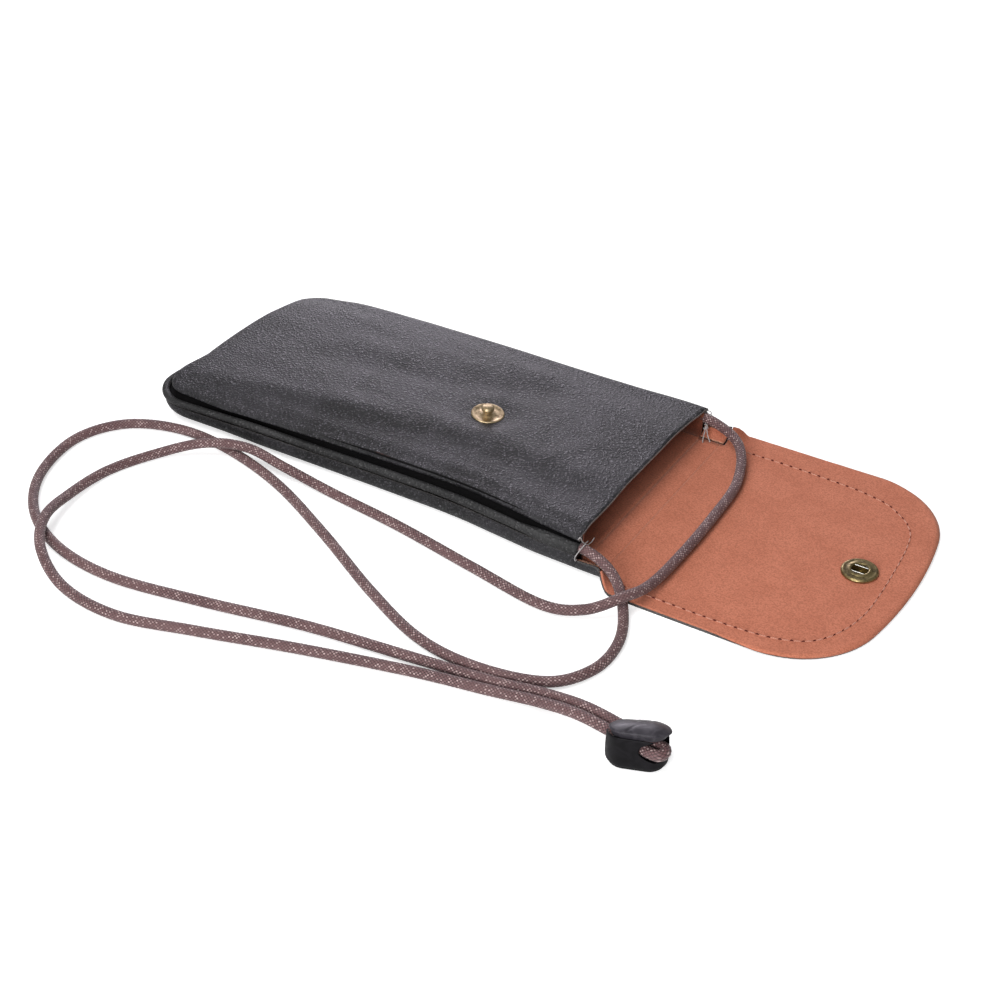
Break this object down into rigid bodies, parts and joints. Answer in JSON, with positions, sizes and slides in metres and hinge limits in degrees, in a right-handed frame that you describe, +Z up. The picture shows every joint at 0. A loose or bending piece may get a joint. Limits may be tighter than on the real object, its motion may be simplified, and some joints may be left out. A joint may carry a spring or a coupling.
{
  "type": "phone pouch",
  "caption": "Flat leather phone pouch with a suede lining, a rounded fold-over flap closed by a press snap, and a braided neck cord with a sprung cord lock.",
  "frame": {"origin": "on the surface that the open pouch lies on, under the middle of the pouch, fold strip and flap together (neck cord and cord lock not counted)", "axes": "+X from the pouch's bottom end through the mouth to the open flap, +Y to the side away from the cord lock, +Z up from the surface through the back panel to the front panel"},
  "size_m": [0.245, 0.1677, 0.0151],
  "materials": {
    "black_leather": "pebbled, satin",
    "gusset_leather": "pebbled, satin",
    "suede_lining": "suede, matt",
    "brass": "brushed, slightly aged",
    "spring_steel": "bright wire",
    "waxed_braid": "waxed polyester braid",
    "lock_plastic": "fine matt texture"
  },
  "bodies": {
    "pouch": {"front_leather": "black_leather", "front_lining": "suede_lining", "gusset_leather": "gusset_leather", "gusset_lining": "suede_lining", "back_leather": "black_leather", "back_lining": "suede_lining", "snap_stud": "brass", "snap_eyelet": "brass", "neck_cord": "waxed_braid"},
    "flap_fold": {"fold_leather": "black_leather", "fold_lining": "suede_lining"},
    "flap": {"flap_leather": "black_leather", "flap_lining": "suede_lining", "snap_socket": "brass", "snap_socket_spring": "spring_steel", "snap_cap": "brass"},
    "cord_lock": {"cord_lock_body": "lock_plastic", "cord_lock_spring": "spring_steel"},
    "lock_plunger": {"cord_lock_plunger": "lock_plastic"}
  },
  "joints": [
    {"name": "flap_fold_hinge", "type": "hinge", "parent": "pouch", "child": "flap_fold", "pos_m": [0.033, 0, 0.0014], "axis": [0, -1, 0], "range_deg": [0, 90], "deforming": ["neck_cord"]},
    {"name": "flap_hinge", "type": "hinge", "parent": "flap_fold", "child": "flap", "pos_m": [0.046, 0, 0.0014], "axis": [0, -1, 0], "range_deg": [0, 90], "deforming": ["snap_socket_spring"]},
    {"name": "lock_slide", "type": "slide", "parent": "pouch", "child": "cord_lock", "axis": [-0.9903, 0.1392, 0], "range_m": [0, 0.008]},
    {"name": "lock_press", "type": "slide", "parent": "cord_lock", "child": "lock_plunger", "axis": [0, 0, -1], "range_m": [0, 0.0012], "stiffness_N_per_m": 400, "deforming": ["cord_lock_spring"]}
  ],
  "couplings": [
    {"joint": "flap_hinge", "follows": "flap_fold_hinge", "ratio": 1}
  ]
}
